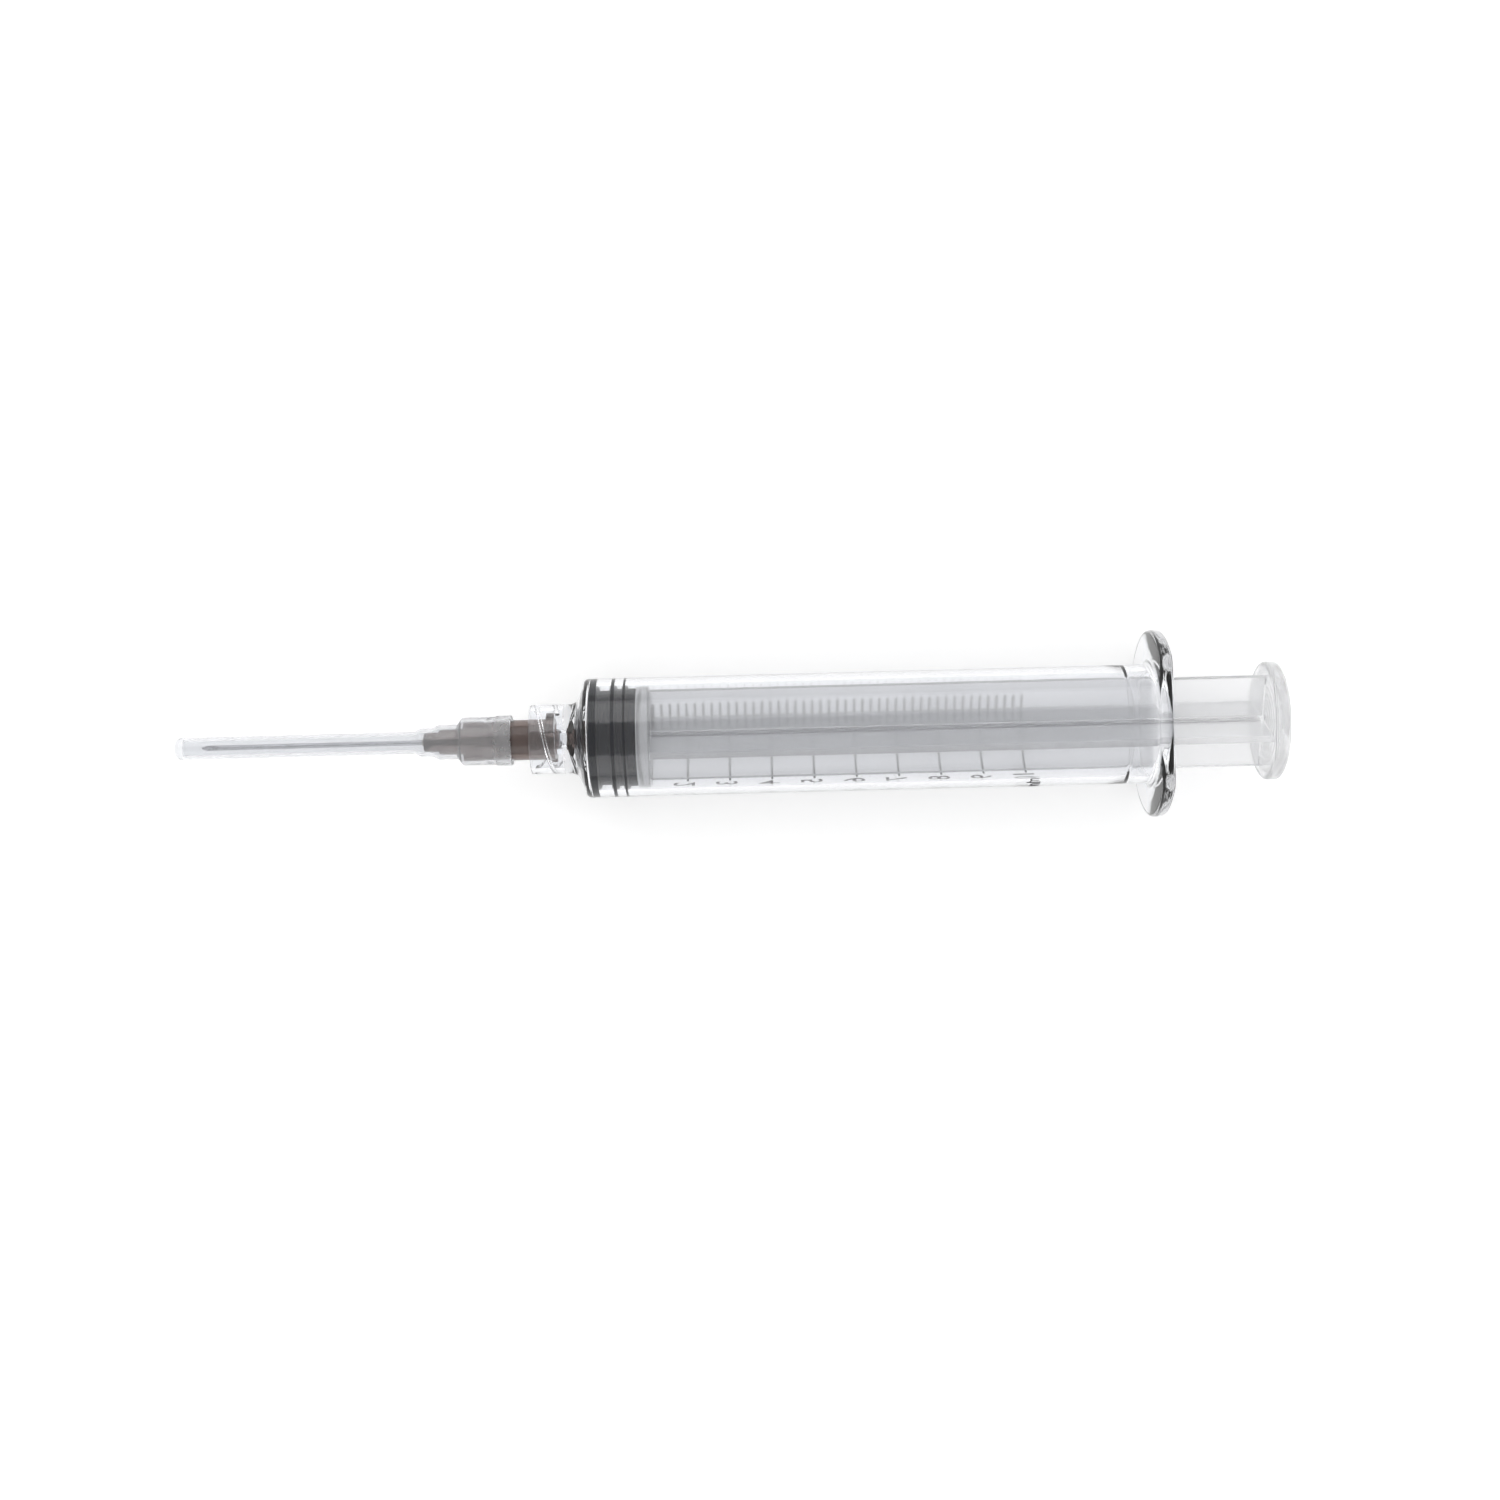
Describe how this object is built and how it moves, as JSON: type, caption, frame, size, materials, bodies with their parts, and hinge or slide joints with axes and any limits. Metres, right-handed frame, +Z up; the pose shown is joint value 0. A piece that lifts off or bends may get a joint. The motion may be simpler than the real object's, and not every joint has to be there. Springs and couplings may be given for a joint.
{
  "type": "luer lock syringe",
  "caption": "Clear syringe with a graduated barrel, locking collar and ringed rubber stopper on a cross-finned plunger, fitted with a thin needle under a slim pull-off guard.",
  "frame": {"origin": "on the barrel's axis, at the zero line of the printed scale", "axes": "+X along the axis towards the thumb press, so that the needle points to -X; +Y along the wide way of the finger flange; +Z up, away from the printed scale and from the surface the flange lies on"},
  "size_m": [0.1535, 0.026, 0.0192],
  "materials": {
    "barrel": "clear, smooth",
    "scale_ink": "printed ink",
    "stopper": "dark, slightly glossy",
    "plunger_rod": "translucent white",
    "needle_hub": "tinted, translucent",
    "cannula": "polished tube",
    "hub_adhesive": "cured adhesive",
    "needle_guard": "hazy"
  },
  "bodies": {
    "barrel": {"barrel": "barrel", "scale_lines": "scale_ink"},
    "stopper": {"stopper": "stopper"},
    "plunger": {"plunger_rod": "plunger_rod"},
    "hub_carriage": {"hub_adhesive": "hub_adhesive"},
    "needle": {"needle_hub": "needle_hub", "cannula": "cannula"},
    "guard": {"needle_guard": "needle_guard"}
  },
  "joints": [
    {"name": "plunger_slide", "type": "slide", "parent": "barrel", "child": "stopper", "axis": [1, 0, 0], "range_m": [0, 0.068]},
    {"name": "plunger_turn", "type": "hinge", "parent": "stopper", "child": "plunger", "pos_m": [0, 0, 0], "axis": [1, 0, 0], "continuous": true},
    {"name": "hub_travel", "type": "slide", "parent": "barrel", "child": "hub_carriage", "axis": [-1, 0, 0], "range_m": [0, 0.00375]},
    {"name": "hub_turn", "type": "hinge", "parent": "hub_carriage", "child": "needle", "pos_m": [0, 0, 0], "axis": [-1, 0, 0], "range_deg": [0, 270]},
    {"name": "guard_slide", "type": "slide", "parent": "needle", "child": "guard", "axis": [-1, 0, 0], "range_m": [0, 0.046]}
  ],
  "couplings": [
    {"joint": "hub_turn", "follows": "hub_travel", "rad_per_m": 1256.6}
  ]
}
